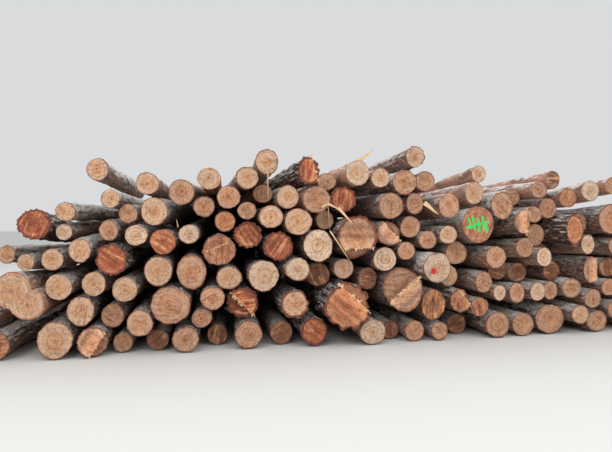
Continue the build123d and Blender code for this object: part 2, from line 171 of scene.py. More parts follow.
# Sprayed strokes, as shares of the end's reach: where each starts, and how far it runs
PAINT_STROKES = (
    (-0.52, 0.36, 0.12, -0.52),
    (-0.28, 0.48, 0.1, -0.66),
    (0.02, 0.34, 0.1, -0.6),
    (0.26, 0.42, 0.14, -0.56),
    (-0.66, -0.12, 1.26, 0.34),
    (0.5, 0.02, 0.06, -0.4),
)

# Sawn ends: sapwood and heartwood, how far out the heart reaches, and how weathered the end is
ENDS = {
    "fresh": ((208, 180, 155), (206, 160, 120), 0.4, 0.15),
    "pale": ((214, 195, 174), (210, 176, 142), 0.38, 0.1),
    "peach": ((200, 163, 137), (196, 141, 103), 0.42, 0.25),
    "tan": ((190, 156, 132), (186, 141, 107), 0.42, 0.35),
    "orange": ((208, 156, 118), (190, 120, 80), 0.5, 0.35),
    "weathered": ((187, 139, 112), (170, 108, 82), 0.45, 0.65),
    "red": ((192, 122, 88), (168, 94, 64), 0.5, 0.8),
    "dark": ((154, 114, 90), (136, 94, 70), 0.45, 0.6),
    "split": ((196, 146, 108), (160, 110, 78), 0.5, 1.1),
    "grey": ((150, 132, 116), (96, 78, 64), 0.5, 1.0),
}

# Bark: its plates, the rim that shows round a sawn end, how thick it is, and its lichen
BARKS = {
    "butt": ((196, 166, 150), (136, 84, 64), 0.75, 0.6),
    "thick": ((188, 150, 132), (148, 80, 60), 1.0, 0.8),
    "plated": ((168, 126, 108), (156, 82, 62), 1.3, 0.8),
    "stem": ((218, 184, 166), (146, 96, 74), 0.5, 0.6),
    "top": ((218, 174, 152), (176, 112, 82), 0.25, 0.3),
    "peeled": ((230, 180, 154), (196, 128, 92), 0.08, 0.0),
    "lichen": ((206, 184, 170), (138, 94, 74), 0.6, 1.2),
}
# The dark colour of the painted shade sheets in the gaps
BARK_SHADE_SHEETS_COLOUR = (110, 88, 76)
THICK = 0.9  # thicker bark has a wider rim, and is rounded twice
UPRIGHT = 0.5  # turn at which the saw's marks stand upright

# Width of the bark round a sawn end: on any log, for its thickness, and for thick bark
RIM_WIDTH = 0.004
RIM_BY_THICKNESS = 0.011
THICK_RIM = 0.014

# How much darker or lighter one log's wood and bark may be
WOOD_SHADES = (0.9, 1.08)
BARK_SHADES = (0.85, 1.15)

# Furrows round a log: how deep in thick bark, how deep in any, and how close
SCALLOPS = 0.014
RAGGED = 0.003
FURROWS = 1.4
OUTER_WOOD = 0.7  # wood further out than this share is drawn in with the bark

# What is pressed in as deep as a setting says: where, which pattern, its size and contrast
RELIEFS = {
    "lumps": ("bark_side", "CLOUDS", 0.14, 2.0),
    "bark_relief": ("bark_side", "VORONOI", 0.028, 1.0),
    "saw_relief": ("sawn_end", "CLOUDS", 0.03, 1.0),
}
STRETCH = (1.0, 3.5, 1.0)  # of those patterns

# Each node's logs from left to right: the finish of the end and the kind of bark
LOOKS = {
    "left_end_logs": "tan/stem dark/stem tan/stem dark/stem weathered/butt",
    "bay_1_ground_logs": "fresh/butt",
    "bay_1_low_logs": "fresh/butt",
    "bay_1_middle_logs": "peach/lichen fresh/lichen fresh/stem fresh/stem fresh/lichen",
    "bay_1_upper_logs": "red/thick pale/top fresh/lichen",
    "bay_2_ground_logs": "tan/stem dark/stem tan/butt",
    "bay_2_low_logs": "tan/stem fresh/butt tan/butt tan/stem",
    "bay_2_middle_logs": "fresh/stem red/thick fresh/stem fresh/stem peach/butt",
    "bay_2_top_logs": "fresh/lichen fresh/lichen fresh/stem peach/stem peach/lichen",
    "bay_2_upper_logs": "peach/lichen peach/stem pale/stem fresh/lichen red/butt pale/stem",
    "bay_3_ground_logs": "dark/stem tan/butt dark/stem",
    "bay_3_low_logs": "peach/stem fresh/thick",
    "bay_3_middle_logs": "weathered/butt fresh/stem pale/butt red/thick pale/lichen",
    "bay_3_top_logs": (
        "fresh/peeled peach/stem fresh/lichen tan/top fresh/stem fresh/stem peach/peeled"
    ),
    "bay_3_upper_logs": "orange/stem tan/stem red/thick fresh/stem fresh/stem",
    "bay_4_ground_logs": "red/thick pale/stem dark/stem tan/stem",
    "bay_4_middle_logs": "dark/stem fresh/stem dark/stem pale/stem peach/stem",
    "bay_4_top_logs": "fresh/top red/thick pale/peeled fresh/stem tan/stem peach/lichen fresh/butt",
    "bay_4_upper_logs": "pale/butt fresh/stem peach/stem tan/stem",
    "bay_5_ground_logs": "tan/stem dark/stem tan/butt",
    "bay_5_low_logs": "split/butt weathered/stem pale/stem",
    "bay_5_middle_logs": "fresh/stem peach/lichen tan/stem peach/stem dark/top",
    "bay_5_top_logs": "tan/top peach/top fresh/top fresh/peeled tan/lichen",
    "bay_5_upper_logs": "peach/stem fresh/stem",
    "bay_6_ground_logs": "tan/stem peach/butt tan/butt",
    "bay_6_low_logs": (
        "peach/stem pale/stem tan/stem tan/stem fresh/stem tan/stem peach/stem tan/stem"
    ),
    "bay_6_middle_logs": "tan/stem dark/stem pale/stem dark/stem dark/stem dark/stem tan/stem",
    "bay_6_top_logs": "tan/top tan/top grey/peeled weathered/top pale/top tan/top",
    "bay_6_upper_logs": "tan/stem tan/butt tan/top pale/stem tan/stem peach/butt",
    "right_end_ground_logs": "tan/stem peach/butt tan/stem",
    "right_end_low_logs": "peach/stem tan/stem weathered/stem",
    "right_end_middle_logs": "tan/stem peach/stem dark/stem tan/stem",
    "right_end_upper_logs": "peach/stem tan/stem",
    "felled_butt_1": "peach/butt",
    "felled_butt_2": "red/thick",
    "felled_butt_3": "red/thick",
    "felled_butt_4": "peach/thick",
    "felled_butt_5": "orange/plated",
    "felled_butt_6": "peach/butt",
    "felled_butt_7": "peach/butt",
    "felled_butt_8": "tan/butt",
    "felled_butt_9": "weathered/butt",
    "felled_butt_10": "tan/butt",
    "forked_log": "fresh/top",
    "furrowed_butt": "orange/thick",
    "painted_log": "weathered/lichen",
    "tagged_log": "pale/lichen",
}
STACKED_LOGS = [node for node in LOOKS if node.endswith("_logs")]
FELLED_BUTTS = [node for node in LOOKS if node.startswith("felled_butt")]

# Each lamp's place, turn in degrees, size and power
LAMPS = {
    "key": ((-4, -7, 6), (50, 0, -30), 6, 240),
    "fill": ((4, -7, 6), (50, 0, 30), 6, 200),
    "rear": ((0, 9, 6), (-58, 0, 0), 8, 220),
    "over": ((0, 1, 8), (0, 0, 0), 8, 200),
}
SKY = (0.97, 0.985, 1.0, 1.0)
FLOOR_SIZE = 300.0
FLOOR_DROP = 0.001

CAMERA_PLACE = (-1.2903, -5.2487, 1.0)
CAMERA_TURN = math.radians(-11)
FOCAL_LENGTH = 28.12
SHIFT_UP = 0.0033


def srgb(red, green, blue):
    """A colour as it is named on screen, made linear."""
    parts = (channel / 255 for channel in (red, green, blue))
    return tuple(c / 12.92 if c <= 0.04045 else ((c + 0.055) / 1.055) ** 2.4 for c in parts)


class Socket:
    """A shader number that adds its own Math nodes when it is calculated with."""

    def __init__(self, shader, output):
        self.shader = shader
        self.output = output

    def math(self, operation, *values):
        inputs = dict(enumerate((self, *values)))
        return self.shader.node("ShaderNodeMath", {"operation": operation}, inputs)

    def __add__(self, other):
        return self.math("ADD", other)

    def __sub__(self, other):
        return self.math("SUBTRACT", other)

    def __mul__(self, other):
        return self.math("MULTIPLY", other)

    def __truediv__(self, other):
        return self.math("DIVIDE", other)

    def __rsub__(self, other):
        return self.shader.node("ShaderNodeMath", {"operation": "SUBTRACT"}, {0: other, 1: self})

    __radd__ = __add__
    __rmul__ = __mul__


class Shader:
    """The nodes of one material."""

    def __init__(self, name):
        self.material = bpy.data.materials.new(name)
        self.material.use_nodes = True
        self.tree = self.material.node_tree
        self.surface = self.tree.nodes["Principled BSDF"]

    def node(self, kind, settings, values, output=0):
        """Adds a node: its settings first, then the values or links of its sockets."""
        made = self.tree.nodes.new(kind)
        for key, value in settings.items():
            setattr(made, key, value)
        for key, value in values.items():
            self.feed(made.inputs[key], value)
        return Socket(self, made.outputs[output])

    def feed(self, target, value):
        if isinstance(value, Socket):
            self.tree.links.new(value.output, target)
        elif isinstance(value, tuple) and target.type == "RGBA":
            target.default_value = (*value[:3], 1.0)
        else:
            target.default_value = value

    def finish(self, **values):
        for key, value in values.items():
            self.feed(self.surface.inputs[key.replace("_", " ")], value)
        return self.material

    def place(self):
        return self.node("ShaderNodeTexCoord", {}, {}, "Object")

    def attribute(self, name, output="Fac"):
        return self.node("ShaderNodeAttribute", {"attribute_name": name}, {}, output)

    def split(self, vector):
        node = self.node("ShaderNodeSeparateXYZ", {}, {0: vector}).output.node
        return tuple(Socket(self, out) for out in node.outputs)

    def scaled(self, vector, x, y, z):
        return self.node("ShaderNodeMapping", {}, {"Vector": vector, "Scale": (x, y, z)})

    def noise(self, vector, scale, detail=3.0, rough=0.5, output="Fac"):
        values = {"Vector": vector, "Scale": scale, "Detail": detail, "Roughness": rough}
        return self.node("ShaderNodeTexNoise", {}, values, output)

    def noise_line(self, value, scale):
        values = {"W": value, "Scale": scale}
        return self.node("ShaderNodeTexNoise", {"noise_dimensions": "1D"}, values)

    def cells(self, vector, scale, feature="DISTANCE_TO_EDGE"):
        values = {"Vector": vector, "Scale": scale}
        return self.node("ShaderNodeTexVoronoi", {"feature": feature}, values, "Distance")

    def ramp(self, value, low, high):
        """0 below low and 1 above high, smooth between."""
        values = {"Value": value, "From Min": low, "From Max": high}
        return self.node("ShaderNodeMapRange", {"interpolation_type": "SMOOTHSTEP"}, values)

    def mix(self, factor, one, other, blend="MIX"):
        settings = {"data_type": "RGBA", "blend_type": blend}
        return self.node("ShaderNodeMix", settings, {0: factor, 6: one, 7: other}, 2)

    def tint(self, colour, factor, other):
        """Multiplies a colour by another where factor is 1."""
        return self.mix(factor, colour, other, "MULTIPLY")

    def shifted(self, vector, other, amount):
        """A vector moved by a noise colour."""
        values = {0: other, 1: (0.5, 0.5, 0.5)}
        centred = self.node("ShaderNodeVectorMath", {"operation": "SUBTRACT"}, values)
        values = {0: centred, 1: (amount, amount, amount), 2: vector}
        return self.node("ShaderNodeVectorMath", {"operation": "MULTIPLY_ADD"}, values)

    def bump(self, height, distance):
        return self.node("ShaderNodeBump", {}, {"Height": height, "Distance": distance})


def bark_material(settings):
    """Pine bark: plates between dark furrows, papery flakes where it is thin, and lichen on top,
    whose extra whiteness on upper sides is painted highlight.
    """
    shader = Shader("pine_bark")
    place = shader.place()
    furrow, lichen, _ = shader.split(shader.attribute("bark", "Vector"))
    furrow = furrow.math("MINIMUM", 1.0)
    plates = shader.attribute("bark_colour", "Color")
    stretched = shader.scaled(place, 1.0, 0.3, 1.0)

    # Plates and small scales, split by dark lines
    stirred = shader.shifted(stretched, shader.noise(stretched, 30.0, 3.0, output="Color"), 0.02)
    edge = shader.cells(stirred, 34.0)
    flakes = shader.noise(stretched, 170.0, 5.0, 0.65)
    crack = (1.0 - shader.ramp(edge + (flakes - 0.5) * 0.15, 0.02, 0.3)) * furrow
    small = (1.0 - shader.ramp(shader.cells(stirred, 100.0), 0.0, 0.22)) * 0.5

    # Flakes, patches of warm and dull bark, and the dark between the plates
    dull = shader.tint(plates, 1.0, (0.5, 0.46, 0.44))
    colour = shader.mix(shader.ramp(flakes, 0.35, 0.65), dull, plates)
    patches = shader.noise(stretched, 13.0, 4.0, 0.6)
    warm = shader.tint(colour, 1.0, (1.2, 0.84, 0.68))
    colour = shader.mix(shader.ramp(patches, 0.5, 0.64), colour, warm)
    colour = shader.tint(colour, shader.ramp(patches, 0.49, 0.38), (0.5, 0.45, 0.44))
    colour = shader.mix(small, colour, srgb(112, 84, 70))
    colour = shader.mix(crack * 0.9, colour, srgb(50, 36, 32))

    # Lichen, most of it on top; the extra whiteness on the upper sides is painted highlight where
    # light falls
    _, inward, up = shader.split(shader.node("ShaderNodeNewGeometry", {}, {}, "Normal"))
    grains = shader.noise(place, 150.0, 4.0, 0.7)
    lichen_and_top_light = shader.noise(stretched, 26.0, 5.0, 0.75) * 0.7 + grains * 0.3
    # The upward term paints a highlight on the upper sides, on top of the real lichen
    lichen_and_top_light = lichen_and_top_light + up * 0.16 + lichen * 0.09 * settings.lichen
    lichen_and_top_highlight = shader.ramp(lichen_and_top_light, 0.59, 0.66) * (1.0 - crack * 0.6)
    crust_and_top_highlight = shader.mix(shader.noise(place, 50.0, 3.0), srgb(204, 202, 196), srgb(246, 244, 242))
    colour = shader.mix(lichen_and_top_highlight * 0.85, colour, crust_and_top_highlight)

    # Bark that faces forward was broken there, and shows its inside
    broken = shader.ramp(inward * -1.0, 0.3, 0.75)
    inside = shader.attribute("rim_colour", "Color")
    inside = shader.mix(shader.ramp(flakes, 0.4, 0.6), srgb(66, 40, 34), inside)
    colour = shader.mix(broken, colour, inside)
    height = flakes * 0.4 - crack * 1.2 - small * 0.35 + lichen_and_top_highlight * grains * 0.3
    return shader.finish(Base_Color=colour, Roughness=0.92, Normal=shader.bump(height, 0.007))


def drying_cracks(shader, turn, share, girth, seed):
    """Cracks at even turns round the pith, each as long as chance has it."""
    spokes = turn * CRACKS
    off = (spokes.math("FRACT") - 0.5).math("ABSOLUTE") * share * girth * (math.tau / CRACKS)
    values = {"W": spokes.math("FLOOR") + seed}
    reach = shader.node("ShaderNodeTexWhiteNoise", {"noise_dimensions": "1D"}, values)
    beyond = shader.ramp(share, reach * 0.45, reach * 0.55 + 0.03)
    return (1.0 - shader.ramp(off, 0.0003, 0.0014)) * (1.0 - beyond)


def sprayed_strokes(shader, across, upward):
    """1 along the strokes of the sprayed mark, fading at their sides."""
    spray = 0.0
    for x, y, along_x, along_y in PAINT_STROKES:
        along = (across - x) * along_x + (upward - y) * along_y
        along = (along / (along_x**2 + along_y**2)).math("MAXIMUM", 0.0).math("MINIMUM", 1.0)
        off_x = across - x - along * along_x
        off_y = upward - y - along * along_y
        off_line = (off_x * off_x + off_y * off_y).math("SQRT")
        spray = (1.0 - shader.ramp(off_line, 0.035, 0.1)).math("MAXIMUM", spray)
    return spray


def sawn_material(settings, painted=False):
    """A sawn end: rings round the heart, drying cracks, saw marks, stains and a rim of bark."""
    shader = Shader("painted_pine" if painted else "sawn_pine")
    place = shader.place()
    section_x, section_y, seed = shader.split(shader.attribute("section", "Vector"))
    girth, rim, age = shader.split(shader.attribute("girth", "Vector"))
    sapwood = shader.attribute("sapwood", "Color")
    heartwood = shader.attribute("heartwood", "Color")
    heart = shader.attribute("heart")
    edge = shader.attribute("edge")
    share = (section_x * section_x + section_y * section_y).math("SQRT")
    uneven = shader.noise(place, 9.0, 3.0, 0.55)

    # Heartwood, its darker border and the pith
    from_pith = share + (uneven - 0.5) * 0.3
    inner = 1.0 - shader.ramp(from_pith, heart - 0.2, heart + 0.12)
    border = 1.0 - shader.ramp((from_pith - heart).math("ABSOLUTE"), 0.02, 0.16)
    pith = 1.0 - shader.ramp(from_pith, 0.06, 0.2)
    wood = shader.mix(inner * 0.7, sapwood, heartwood)
    wood = shader.tint(wood, border * 0.6, (0.9, 0.68, 0.5))
    wood = shader.mix(pith * 0.7, wood, shader.tint(heartwood, 1.0, (0.92, 0.74, 0.6)))

    # Yearly rings, and bands of darker years
    radius = share * girth + (uneven - 0.5) * 0.012
    rings = shader.noise_line(radius + seed, 1.0 / settings.ring_width)
    bands = shader.noise_line(radius + seed * 3.0, 0.4 / settings.ring_width)
    wood = shader.tint(wood, shader.ramp(rings, 0.4, 0.7) * 0.75, (0.84, 0.68, 0.56))
    wood = shader.tint(wood, shader.ramp(bands, 0.44, 0.62) * 0.75, (0.86, 0.7, 0.58))

    # Marks of the saw, and streaks where the wood is weathered
    values = {"Vector": place, "Angle": seed * math.tau}
    turned = shader.node("ShaderNodeVectorRotate", {"rotation_type": "Y_AXIS"}, values)
    marks = shader.noise(shader.scaled(turned, 150.0, 4.0, 7.0), 1.0, 4.0, 0.65)
    streaks = shader.noise(shader.scaled(turned, 34.0, 3.0, 5.0), 1.0, 5.0, 0.7)
    marked = shader.ramp(marks, 0.48, 0.64) * (age * 0.5 + 0.3)
    wood = shader.tint(wood, marked, (0.62, 0.5, 0.42))
    wood = shader.tint(wood, shader.ramp(marks, 0.48, 0.36) * 0.8, (1.16, 1.14, 1.12))
    wood = shader.mix(shader.ramp(streaks, 0.52, 0.62) * age, wood, srgb(224, 168, 122))
    wood = shader.mix(shader.ramp(streaks, 0.48, 0.38) * age, wood, srgb(112, 60, 40))

    # Stains, blotches, specks of dirt and knots
    stains = shader.noise(place, 24.0, 5.0, 0.7)
    blotches = shader.noise(place, 60.0, 4.0, 0.75)
    stained = shader.ramp(stains + age * 0.08, 0.5, 0.68) * 0.8
    wood = shader.tint(wood, stained, (0.66, 0.56, 0.5))
    wood = shader.tint(wood, shader.ramp(blotches + share * 0.05, 0.54, 0.7), (0.62, 0.5, 0.44))
    wood = shader.tint(wood, shader.ramp(blotches, 0.46, 0.32), (1.2, 1.18, 1.16))
    specks = shader.ramp(blotches + share * 0.07, 0.68, 0.76) * 0.8
    wood = shader.mix(specks, wood, srgb(74, 52, 44))
    knots = shader.cells(place, 15.0, "F1")
    knot = 1.0 - shader.ramp(knots + (blotches - 0.5) * 0.1, 0.06, 0.15)
    wood = shader.mix(knot * 0.55, wood, srgb(150, 86, 52))
    turn = section_y.math("ARCTAN2", section_x) / math.tau + seed * 3.0 + uneven * 0.06
    crack = drying_cracks(shader, turn, share, girth, seed)
    wood = shader.mix(crack * 0.35, wood, srgb(84, 56, 42))

    # The rim: darker wood, then bark
    ragged = shader.noise(place, 55.0, 4.0, 0.6) - 0.5
    bark = shader.ramp(edge + ragged * rim * 0.9, 1.0 - rim, 1.01 - rim)
    cambium = shader.ramp(edge + ragged * 0.07, 0.9 - rim, 1.0 - rim)
    wood = shader.tint(wood, cambium * 0.55, (0.9, 0.62, 0.5))
    rim_colour = shader.attribute("rim_colour", "Color")
    rim_shade = shader.tint(rim_colour, 1.0, (0.3, 0.25, 0.24))
    rim_colour = shader.mix(shader.ramp(blotches, 0.4, 0.6), rim_shade, rim_colour)
    colour = shader.mix(bark, wood, rim_colour)
    height = rings * 0.2 + marks * 0.5 + streaks * age - crack - bark * (0.6 + ragged) - knot * 0.2
    if painted:
        across = section_x + (stains - 0.5) * 0.12
        upward = section_y + (uneven - 0.5) * 0.12
        front = 1.0 - shader.ramp(shader.split(place)[1], -0.5, 0.5)
        paint = sprayed_strokes(shader, across, upward) * front * shader.ramp(blotches, 0.36, 0.5)
        colour = shader.mix(paint, colour, tuple(settings.paint_colour))
    return shader.finish(Base_Color=colour, Roughness=0.8, Normal=shader.bump(height, 0.003))


def tag_material(settings):
    """Moulded plastic, scuffed and dusty."""
    shader = Shader("tag_plastic")
    place = shader.place()
    scuffs = shader.noise(shader.scaled(place, 1.0, 1.0, 0.2), 420.0, 4.0, 0.6)
    dust = shader.noise(place, 90.0, 3.0)
    colour = tuple(settings.tag_colour)
    colour = shader.mix(shader.ramp(scuffs, 0.6, 0.78) * 0.4, colour, srgb(226, 96, 84))
    colour = shader.mix(shader.ramp(dust, 0.55, 0.8) * 0.3, colour, srgb(110, 50, 40))
    rough = shader.ramp(dust, 0.3, 0.8) * 0.3 + 0.35
    return shader.finish(Base_Color=colour, Roughness=rough, Normal=shader.bump(scuffs, 0.0004))


def floor_material(settings):
    """A plain matt floor."""
    shader = Shader("studio_floor")
    return shader.finish(Base_Color=tuple(settings.floor_colour), Roughness=0.9)


def shared_material(name, make, *settings):
    """A material that is made once and used by many pieces."""
    return bpy.data.materials.get(name) or make(*settings)


def select_only(*objects):
    """Selects these objects alone, with the first one active."""
    bpy.ops.object.select_all(action="DESELECT")
    for item in objects:
        item.select_set(True)
    bpy.context.view_layer.objects.active = objects[0]


def copy_node(node):
    """A copy of a node's solids with its triangles merged into flats, ready to be shaped."""
    mesh = NODES[node].data.copy()
    mesh.materials.clear()
    piece = bpy.data.objects.new(node + "_dressed", mesh)
    bpy.context.scene.collection.objects.link(piece)
    select_only(piece)
    bpy.ops.object.mode_set(mode="EDIT")
    bpy.ops.mesh.customdata_custom_splitnormals_clear()
    bpy.ops.mesh.select_all(action="SELECT")
    bpy.ops.mesh.remove_doubles(threshold=MERGE_DISTANCE)
    bpy.ops.mesh.dissolve_limited(angle_limit=FLAT_ANGLE)
    bpy.ops.object.mode_set(mode="OBJECT")
    return piece


def split_logs(piece):
    """The logs of a node as objects of their own, from left to right."""
    select_only(piece)
    bpy.ops.mesh.separate(type="LOOSE")
    return sorted(bpy.context.selected_objects, key=place_along)


def place_along(log):
    """Where along the pile the middle of a log's front end lies."""
    points = np.array([v.co for v in log.data.vertices])
    return points[points[:, 1] < points[:, 1].min() + END_DEPTH].mean(0)[0]


def mark_wood(log):
    """Tells sawn faces from bark flats, and returns how far in the front and rear ends reach."""
    bpy.ops.object.mode_set(mode="EDIT")
    shape = bmesh.from_edit_mesh(log.data)
    reaches = [-math.inf, math.inf]
    for face in shape.faces:
        depths = [v.co.y for v in face.verts]
        sawn = abs(face.normal.y) > ACROSS or max(depths) - min(depths) < LONG_FACE
        face.material_index = WOOD if sawn else BARK
        if sawn and max(depths) < 0:
            reaches[0] = max(reaches[0], *depths)
        elif sawn:
            reaches[1] = min(reaches[1], *depths)
    bmesh.update_edit_mesh(log.data)
    return reaches


def select_wood(log):
    """Selects the sawn faces of a log in edit mode."""
    bpy.ops.mesh.select_mode(type="FACE")
    bpy.ops.mesh.select_all(action="DESELECT")
    shape = bmesh.from_edit_mesh(log.data)
    for face in shape.faces:
        face.select = face.material_index == WOOD
    shape.select_flush_mode()
    bmesh.update_edit_mesh(log.data)


def ring_log(log, thick, gridded):
    """Cuts a log into rings, sets rings or a grid into its sawn ends and rounds it."""
    select_only(log)
    front_deepest, rear_first = mark_wood(log)
    planes = [front_deepest + depth for depth in FRONT_RINGS]
    planes += [rear_first - depth for depth in REAR_RINGS]
    for plane in planes[::2] if thick else planes:
        bpy.ops.mesh.select_all(action="SELECT")
        bpy.ops.mesh.bisect(plane_co=(0, plane, 0), plane_no=(0, 1, 0))
    if gridded:
        grid_ends(log)
    else:
        select_wood(log)
        for inset in (THICK_BARK_INSET if thick else BARK_INSET, *WOOD_INSETS):
            bpy.ops.mesh.inset(thickness=inset, use_even_offset=True)
    bpy.ops.mesh.select_mode(type="EDGE")
    bpy.ops.mesh.select_all(action="DESELECT")
    bpy.ops.mesh.edges_select_sharp(sharpness=LOG_ANGLE)
    bpy.ops.transform.edge_crease(value=1.0)
    bpy.ops.object.mode_set(mode="OBJECT")
    rounding = log.modifiers.new("rounding", "SUBSURF")
    rounding.levels = rounding.render_levels = 2 if thick else 1
    bpy.ops.object.modifier_apply(modifier=rounding.name)


def grid_ends(log):
    """Cuts both ends into a grid, which keeps a stepped or forked outline as it is."""
    for axis in (0, 2):
        shape = bmesh.from_edit_mesh(log.data)
        wood = [face for face in shape.faces if face.material_index == WOOD]
        places = [v.co[axis] for face in wood for v in face.verts]
        low, high = min(places), max(places)
        count = int((high - low) / GRID_STEP)
        for number in range(1, count):
            plane = [0, 0, 0]
            normal = [0, 0, 0]
            plane[axis] = low + (high - low) * number / count
            normal[axis] = 1
            select_wood(log)
            bpy.ops.mesh.bisect(plane_co=plane, plane_no=normal)


def add_attribute(mesh, name, values):
    """Stores a number, a vector or a colour at each point, which a material reads."""
    values = np.asarray(values, dtype=np.float32).reshape(len(mesh.vertices), -1)
    kind, field = ATTRIBUTES[values.shape[1]]
    mesh.attributes.new(name, kind, "POINT").data.foreach_set(field, values.ravel())


def rim_reach(points, rim, middle):
    """How far the rim is from the middle in the direction of each point."""
    across = points[rim][:, (0, 2)] - middle
    turns = np.arctan2(across[:, 1], across[:, 0])
    order = np.argsort(turns)
    offsets = points[:, (0, 2)] - middle
    turn = np.arctan2(offsets[:, 1], offsets[:, 0])
    reach = np.interp(turn, turns[order], np.hypot(*across.T)[order], period=math.tau)
    return turn, np.hypot(*offsets.T) / reach, reach.mean()


def furrow_ends(mesh, points, edge_share, middles, depth, seed):
    """Furrows the bark towards the log's middle, and draws the outer wood in with it."""
    (front, *one), (rear, *other) = middles
    along = (points[:, 1:2] - front) / (rear - front)
    offsets = points[:, (0, 2)] - (np.array(one) * (1 - along) + np.array(other) * along)
    reach = np.hypot(*offsets.T)
    outer = np.clip((edge_share - OUTER_WOOD) / (1 - OUTER_WOOD), 0, 1)
    for place in np.flatnonzero(outer > 0):
        outwards = offsets[place] / reach[place]
        x, z = outwards * FURROWS
        y = points[place, 1]
        wave = noise((x * 3, y * 4 + seed, z * 3)) + 0.5 * noise((x * 7, y * 9 - seed, z * 7))
        press = depth * outer[place] * min(max(0.45 + 1.3 * wave, 0.0), 1.0)
        points[place, (0, 2)] -= outwards * press
    mesh.vertices.foreach_set("co", points.ravel())


def wood_and_bark(mesh):
    """Which points lie on sawn wood and which on bark. Those of a rim lie on both."""
    on_wood = np.zeros(len(mesh.vertices), bool)
    on_bark = np.zeros(len(mesh.vertices), bool)
    for face in mesh.polygons:
        (on_wood if face.material_index == WOOD else on_bark)[list(face.vertices)] = True
    return on_wood, on_bark


def round_hearts(points, middle):
    """The turn and the share of the reach of each point, round the nearer heart of the fork."""
    across = points[:, None, (0, 2)] - middle - np.array(FORK_HEARTS)
    away = np.hypot(across[..., 0], across[..., 1]) / FORK_GIRTHS
    nearest = across[np.arange(len(points)), away.argmin(1)]
    return np.arctan2(nearest[:, 1], nearest[:, 0]), away.min(1)


def measure_ends(points, on_wood, on_bark, chance, forked):
    """Each point's place round its pith and nearness to the rim, the ends' middles and girth."""
    section = np.zeros((len(points), 3))
    edge_share = np.ones(len(points))
    middles = []
    for half in (points[:, 1] < 0, points[:, 1] >= 0):
        rim = on_wood & on_bark & half
        middle = points[rim][:, (0, 2)].mean(0)
        middles.append((points[rim][:, 1].mean(), *middle))
        pith = middle + np.array([chance.uniform(-1, 1), chance.uniform(-1, 1)]) * PITH_DRIFT
        turn, share, girth = rim_reach(points, rim, pith)
        share = np.where(on_bark, 1.0, np.minimum(share, 1.0))
        edge_share[half] = share[half]
        if forked and points[half][:, 1].max() < 0:
            turn, share = round_hearts(points, middle)
        section[half, 0] = (share * np.cos(turn))[half]
        section[half, 1] = (share * np.sin(turn))[half]
    return section, edge_share, middles, girth


def grade_log(log, end, bark, chance, forked, hinge):
    """Stores where each point lies in the log's section, and the log's colours and finish."""
    mesh = log.data
    points = np.array([v.co for v in mesh.vertices])
    on_wood, on_bark = wood_and_bark(mesh)
    section, edge_share, middles, girth = measure_ends(points, on_wood, on_bark, chance, forked)
    section[:, 2] = UPRIGHT if end == "split" else chance.random()
    # Painted light and shade in bands across a felling cut, with some of the cut faces' own tone
    tone_and_painted_light = np.ones(len(points))
    if hinge:
        front = on_wood & (points[:, 1] < 0)
        one, _, facing = hinge
        beyond = (points - one) @ np.array(facing)
        tone_and_painted_light[front] = np.interp(beyond[front], HINGE_REACH, HINGE_TONE_AND_PAINTED_LIGHT)
    sap, heart_colour, heart, age = ENDS[end]
    plates, rim_colour, thickness, lichen = BARKS[bark]
    lighter = chance.uniform(*WOOD_SHADES)
    shade = chance.uniform(*BARK_SHADES)
    rim_width = RIM_WIDTH + RIM_BY_THICKNESS * thickness + THICK_RIM * (thickness > THICK)
    for name, value in (
        ("girth", (girth, rim_width / girth, age + chance.uniform(-0.08, 0.08))),
        ("bark", (thickness, lichen, 0.0)),
        ("heart", (heart + chance.uniform(-0.1, 0.1),)),
        ("sapwood", (*(c * lighter for c in srgb(*sap)), 1.0)),
        ("heartwood", (*(c * lighter for c in srgb(*heart_colour)), 1.0)),
        ("bark_colour", (*(c * shade for c in srgb(*plates)), 1.0)),
        ("rim_colour", (*(c * shade for c in srgb(*rim_colour)), 1.0)),
    ):
        values = np.tile(value, (len(points), 1))
        if name in ("sapwood", "heartwood"):
            values[:, :3] *= tone_and_painted_light[:, None] ** TONE_AND_PAINTED_LIGHT_POWERS
        add_attribute(mesh, name, values)
    depth = SCALLOPS * thickness**3 + RAGGED
    furrow_ends(mesh, points, edge_share, middles, depth, chance.uniform(0, 90))
    add_attribute(mesh, "section", section)
    add_attribute(mesh, "edge", edge_share)
    relief = 0.3 + 0.7 * thickness
    for name, members, weight in (
        ("bark_side", on_bark & ~on_wood, relief),
        ("bark_side", on_bark & on_wood, 0.5 * relief),
        ("sawn_end", on_wood & ~on_bark, 0.4 + 0.8 * age),
    ):
        group = log.vertex_groups.get(name) or log.vertex_groups.new(name=name)
        group.add(np.flatnonzero(members).tolist(), min(weight, 1.0), "REPLACE")


def stretch_guide():
    """An empty whose scale stretches a texture along the logs."""
    guide = bpy.data.objects.get("along_logs")
    if guide is None:
        guide = bpy.data.objects.new("along_logs", None)
        guide.scale = STRETCH
        bpy.context.scene.collection.objects.link(guide)
        bpy.context.view_layer.update()
    return guide


def press_in(piece, group, pattern, size, contrast, depth):
    """Presses a pattern into a piece, never out of it."""
    name = f"{pattern.lower()}_{size}"
    texture = bpy.data.textures.get(name) or bpy.data.textures.new(name, pattern)
    texture.noise_scale = size
    texture.contrast = contrast
    relief = piece.modifiers.new("relief", "DISPLACE")
    relief.texture = texture
    relief.texture_coords = "OBJECT"
    relief.texture_coords_object = stretch_guide()
    relief.mid_level = 1.0
    relief.strength = depth
    relief.vertex_group = group
    select_only(piece)
    bpy.ops.object.modifier_apply(modifier=relief.name)


def keep_within(mesh, low, high):
    """Holds a piece's points within a box."""
    points = np.clip([v.co for v in mesh.vertices], low, high)
    mesh.vertices.foreach_set("co", points.ravel())


